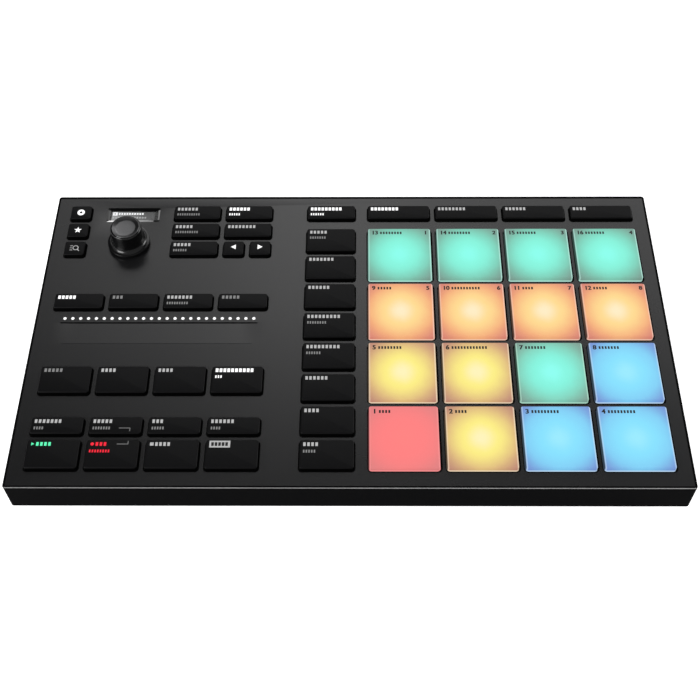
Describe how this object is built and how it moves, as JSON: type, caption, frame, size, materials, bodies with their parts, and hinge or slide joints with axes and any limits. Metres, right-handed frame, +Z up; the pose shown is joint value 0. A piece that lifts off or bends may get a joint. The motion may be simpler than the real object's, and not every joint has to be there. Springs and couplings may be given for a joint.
{
  "type": "drum machine",
  "caption": "Table-top drum machine with a grid of lit silicone pads, push buttons, an encoder knob, a small display and a touch strip.",
  "frame": {"origin": "on the table under the middle of the case, at the soles of the feet", "axes": "+X to the player's right along the case's width, +Y to the rear where the sockets are, +Z up"},
  "size_m": [0.32, 0.177, 0.045],
  "materials": {
    "panel_plastic": "satin, very fine grain",
    "tray_plastic": "fine grain",
    "foot_rubber": "matt",
    "screw_steel": "blackened",
    "circuit_board": "solder mask",
    "switch_plastic": "moulded",
    "sensor_film": "film",
    "plate_steel": "zinc plated",
    "ribbon_plastic": "flat cable",
    "socket_steel": "nickel plated shell",
    "window_clear": "clear, smoked",
    "display_black": "display glass",
    "light_guide": "milky clear",
    "encoder_metal": "plated",
    "knob_plastic": "glossy sides, satin top",
    "pad_silicone": "translucent, lit from below",
    "button_plastic": "satin"
  },
  "bodies": {
    "case": {"top_cover": "panel_plastic", "bottom_tray": "tray_plastic", "feet": "foot_rubber", "case_screws": "screw_steel", "board_screws": "screw_steel", "main_board": "circuit_board", "button_switches": "switch_plastic", "pad_board": "circuit_board", "pad_sensor_sheet": "sensor_film", "pad_support_plate": "plate_steel", "board_link_ribbon": "ribbon_plastic", "usb_socket": "socket_steel", "display_window": "window_clear", "display_module": "display_black", "touch_strip_sensor": "sensor_film", "strip_light_guide": "light_guide", "encoder_body": "encoder_metal"},
    "pad_mat": {"pad_mat": "pad_silicone"},
    "encoder_plunger": {"encoder_actuator": "switch_plastic"},
    "knob": {"encoder_shaft": "encoder_metal", "knob": "knob_plastic"},
    "play_button": {"play_button": "button_plastic"},
    "record_button": {"record_button": "button_plastic"},
    "stop_button": {"stop_button": "button_plastic"},
    "shift_button": {"shift_button": "button_plastic"},
    "restart_button": {"restart_button": "button_plastic"},
    "erase_button": {"erase_button": "button_plastic"},
    "tap_button": {"tap_button": "button_plastic"},
    "follow_button": {"follow_button": "button_plastic"},
    "group_button": {"group_button": "button_plastic"},
    "auto_button": {"auto_button": "button_plastic"},
    "lock_button": {"lock_button": "button_plastic"},
    "note_repeat_button": {"note_repeat_button": "button_plastic"},
    "pitch_button": {"pitch_button": "button_plastic"},
    "mod_button": {"mod_button": "button_plastic"},
    "perform_button": {"perform_button": "button_plastic"},
    "notes_button": {"notes_button": "button_plastic"},
    "search_button": {"search_button": "button_plastic"},
    "favourite_button": {"favourite_button": "button_plastic"},
    "menu_button": {"menu_button": "button_plastic"},
    "tempo_button": {"tempo_button": "button_plastic"},
    "swing_button": {"swing_button": "button_plastic"},
    "volume_button": {"volume_button": "button_plastic"},
    "sampling_button": {"sampling_button": "button_plastic"},
    "plugin_button": {"plugin_button": "button_plastic"},
    "left_button": {"left_button": "button_plastic"},
    "right_button": {"right_button": "button_plastic"},
    "mute_button": {"mute_button": "button_plastic"},
    "solo_button": {"solo_button": "button_plastic"},
    "select_button": {"select_button": "button_plastic"},
    "duplicate_button": {"duplicate_button": "button_plastic"},
    "variation_button": {"variation_button": "button_plastic"},
    "events_button": {"events_button": "button_plastic"},
    "pattern_button": {"pattern_button": "button_plastic"},
    "scene_button": {"scene_button": "button_plastic"},
    "fixed_velocity_button": {"fixed_velocity_button": "button_plastic"},
    "pad_mode_button": {"pad_mode_button": "button_plastic"},
    "keyboard_button": {"keyboard_button": "button_plastic"},
    "chords_button": {"chords_button": "button_plastic"},
    "step_button": {"step_button": "button_plastic"}
  },
  "joints": [
    {"name": "pad_give", "type": "slide", "parent": "case", "child": "pad_mat", "axis": [0, 0, -1], "range_m": [0, 0.0006], "stiffness_N_per_m": 8000, "springref_m": -0.0005},
    {"name": "encoder_push", "type": "slide", "parent": "case", "child": "encoder_plunger", "axis": [0, 0, -1], "range_m": [0, 0.0005], "stiffness_N_per_m": 1500, "springref_m": -0.001},
    {"name": "knob_turn", "type": "hinge", "parent": "encoder_plunger", "child": "knob", "pos_m": [-0.1177, 0.0555, 0.0315], "axis": [0, 0, 1], "continuous": true},
    {"name": "play_press", "type": "slide", "parent": "case", "child": "play_button", "axis": [0, 0, -1], "range_m": [0, 0.0008], "stiffness_N_per_m": 600, "springref_m": -0.001},
    {"name": "record_press", "type": "slide", "parent": "case", "child": "record_button", "axis": [0, 0, -1], "range_m": [0, 0.0008], "stiffness_N_per_m": 600, "springref_m": -0.001},
    {"name": "stop_press", "type": "slide", "parent": "case", "child": "stop_button", "axis": [0, 0, -1], "range_m": [0, 0.0008], "stiffness_N_per_m": 600, "springref_m": -0.001},
    {"name": "shift_press", "type": "slide", "parent": "case", "child": "shift_button", "axis": [0, 0, -1], "range_m": [0, 0.0008], "stiffness_N_per_m": 600, "springref_m": -0.001},
    {"name": "restart_press", "type": "slide", "parent": "case", "child": "restart_button", "axis": [0, 0, -1], "range_m": [0, 0.0008], "stiffness_N_per_m": 600, "springref_m": -0.001},
    {"name": "erase_press", "type": "slide", "parent": "case", "child": "erase_button", "axis": [0, 0, -1], "range_m": [0, 0.0008], "stiffness_N_per_m": 600, "springref_m": -0.001},
    {"name": "tap_press", "type": "slide", "parent": "case", "child": "tap_button", "axis": [0, 0, -1], "range_m": [0, 0.0008], "stiffness_N_per_m": 600, "springref_m": -0.001},
    {"name": "follow_press", "type": "slide", "parent": "case", "child": "follow_button", "axis": [0, 0, -1], "range_m": [0, 0.0008], "stiffness_N_per_m": 600, "springref_m": -0.001},
    {"name": "group_press", "type": "slide", "parent": "case", "child": "group_button", "axis": [0, 0, -1], "range_m": [0, 0.0008], "stiffness_N_per_m": 600, "springref_m": -0.001},
    {"name": "auto_press", "type": "slide", "parent": "case", "child": "auto_button", "axis": [0, 0, -1], "range_m": [0, 0.0008], "stiffness_N_per_m": 600, "springref_m": -0.001},
    {"name": "lock_press", "type": "slide", "parent": "case", "child": "lock_button", "axis": [0, 0, -1], "range_m": [0, 0.0008], "stiffness_N_per_m": 600, "springref_m": -0.001},
    {"name": "note_repeat_press", "type": "slide", "parent": "case", "child": "note_repeat_button", "axis": [0, 0, -1], "range_m": [0, 0.0008], "stiffness_N_per_m": 600, "springref_m": -0.001},
    {"name": "pitch_press", "type": "slide", "parent": "case", "child": "pitch_button", "axis": [0, 0, -1], "range_m": [0, 0.0008], "stiffness_N_per_m": 600, "springref_m": -0.001},
    {"name": "mod_press", "type": "slide", "parent": "case", "child": "mod_button", "axis": [0, 0, -1], "range_m": [0, 0.0008], "stiffness_N_per_m": 600, "springref_m": -0.001},
    {"name": "perform_press", "type": "slide", "parent": "case", "child": "perform_button", "axis": [0, 0, -1], "range_m": [0, 0.0008], "stiffness_N_per_m": 600, "springref_m": -0.001},
    {"name": "notes_press", "type": "slide", "parent": "case", "child": "notes_button", "axis": [0, 0, -1], "range_m": [0, 0.0008], "stiffness_N_per_m": 600, "springref_m": -0.001},
    {"name": "search_press", "type": "slide", "parent": "case", "child": "search_button", "axis": [0, 0, -1], "range_m": [0, 0.0008], "stiffness_N_per_m": 600, "springref_m": -0.001},
    {"name": "favourite_press", "type": "slide", "parent": "case", "child": "favourite_button", "axis": [0, 0, -1], "range_m": [0, 0.0008], "stiffness_N_per_m": 600, "springref_m": -0.001},
    {"name": "menu_press", "type": "slide", "parent": "case", "child": "menu_button", "axis": [0, 0, -1], "range_m": [0, 0.0008], "stiffness_N_per_m": 600, "springref_m": -0.001},
    {"name": "tempo_press", "type": "slide", "parent": "case", "child": "tempo_button", "axis": [0, 0, -1], "range_m": [0, 0.0008], "stiffness_N_per_m": 600, "springref_m": -0.001},
    {"name": "swing_press", "type": "slide", "parent": "case", "child": "swing_button", "axis": [0, 0, -1], "range_m": [0, 0.0008], "stiffness_N_per_m": 600, "springref_m": -0.001},
    {"name": "volume_press", "type": "slide", "parent": "case", "child": "volume_button", "axis": [0, 0, -1], "range_m": [0, 0.0008], "stiffness_N_per_m": 600, "springref_m": -0.001},
    {"name": "sampling_press", "type": "slide", "parent": "case", "child": "sampling_button", "axis": [0, 0, -1], "range_m": [0, 0.0008], "stiffness_N_per_m": 600, "springref_m": -0.001},
    {"name": "plugin_press", "type": "slide", "parent": "case", "child": "plugin_button", "axis": [0, 0, -1], "range_m": [0, 0.0008], "stiffness_N_per_m": 600, "springref_m": -0.001},
    {"name": "left_press", "type": "slide", "parent": "case", "child": "left_button", "axis": [0, 0, -1], "range_m": [0, 0.0008], "stiffness_N_per_m": 600, "springref_m": -0.001},
    {"name": "right_press", "type": "slide", "parent": "case", "child": "right_button", "axis": [0, 0, -1], "range_m": [0, 0.0008], "stiffness_N_per_m": 600, "springref_m": -0.001},
    {"name": "mute_press", "type": "slide", "parent": "case", "child": "mute_button", "axis": [0, 0, -1], "range_m": [0, 0.0008], "stiffness_N_per_m": 600, "springref_m": -0.001},
    {"name": "solo_press", "type": "slide", "parent": "case", "child": "solo_button", "axis": [0, 0, -1], "range_m": [0, 0.0008], "stiffness_N_per_m": 600, "springref_m": -0.001},
    {"name": "select_press", "type": "slide", "parent": "case", "child": "select_button", "axis": [0, 0, -1], "range_m": [0, 0.0008], "stiffness_N_per_m": 600, "springref_m": -0.001},
    {"name": "duplicate_press", "type": "slide", "parent": "case", "child": "duplicate_button", "axis": [0, 0, -1], "range_m": [0, 0.0008], "stiffness_N_per_m": 600, "springref_m": -0.001},
    {"name": "variation_press", "type": "slide", "parent": "case", "child": "variation_button", "axis": [0, 0, -1], "range_m": [0, 0.0008], "stiffness_N_per_m": 600, "springref_m": -0.001},
    {"name": "events_press", "type": "slide", "parent": "case", "child": "events_button", "axis": [0, 0, -1], "range_m": [0, 0.0008], "stiffness_N_per_m": 600, "springref_m": -0.001},
    {"name": "pattern_press", "type": "slide", "parent": "case", "child": "pattern_button", "axis": [0, 0, -1], "range_m": [0, 0.0008], "stiffness_N_per_m": 600, "springref_m": -0.001},
    {"name": "scene_press", "type": "slide", "parent": "case", "child": "scene_button", "axis": [0, 0, -1], "range_m": [0, 0.0008], "stiffness_N_per_m": 600, "springref_m": -0.001},
    {"name": "fixed_velocity_press", "type": "slide", "parent": "case", "child": "fixed_velocity_button", "axis": [0, 0, -1], "range_m": [0, 0.0008], "stiffness_N_per_m": 600, "springref_m": -0.001},
    {"name": "pad_mode_press", "type": "slide", "parent": "case", "child": "pad_mode_button", "axis": [0, 0, -1], "range_m": [0, 0.0008], "stiffness_N_per_m": 600, "springref_m": -0.001},
    {"name": "keyboard_press", "type": "slide", "parent": "case", "child": "keyboard_button", "axis": [0, 0, -1], "range_m": [0, 0.0008], "stiffness_N_per_m": 600, "springref_m": -0.001},
    {"name": "chords_press", "type": "slide", "parent": "case", "child": "chords_button", "axis": [0, 0, -1], "range_m": [0, 0.0008], "stiffness_N_per_m": 600, "springref_m": -0.001},
    {"name": "step_press", "type": "slide", "parent": "case", "child": "step_button", "axis": [0, 0, -1], "range_m": [0, 0.0008], "stiffness_N_per_m": 600, "springref_m": -0.001}
  ]
}
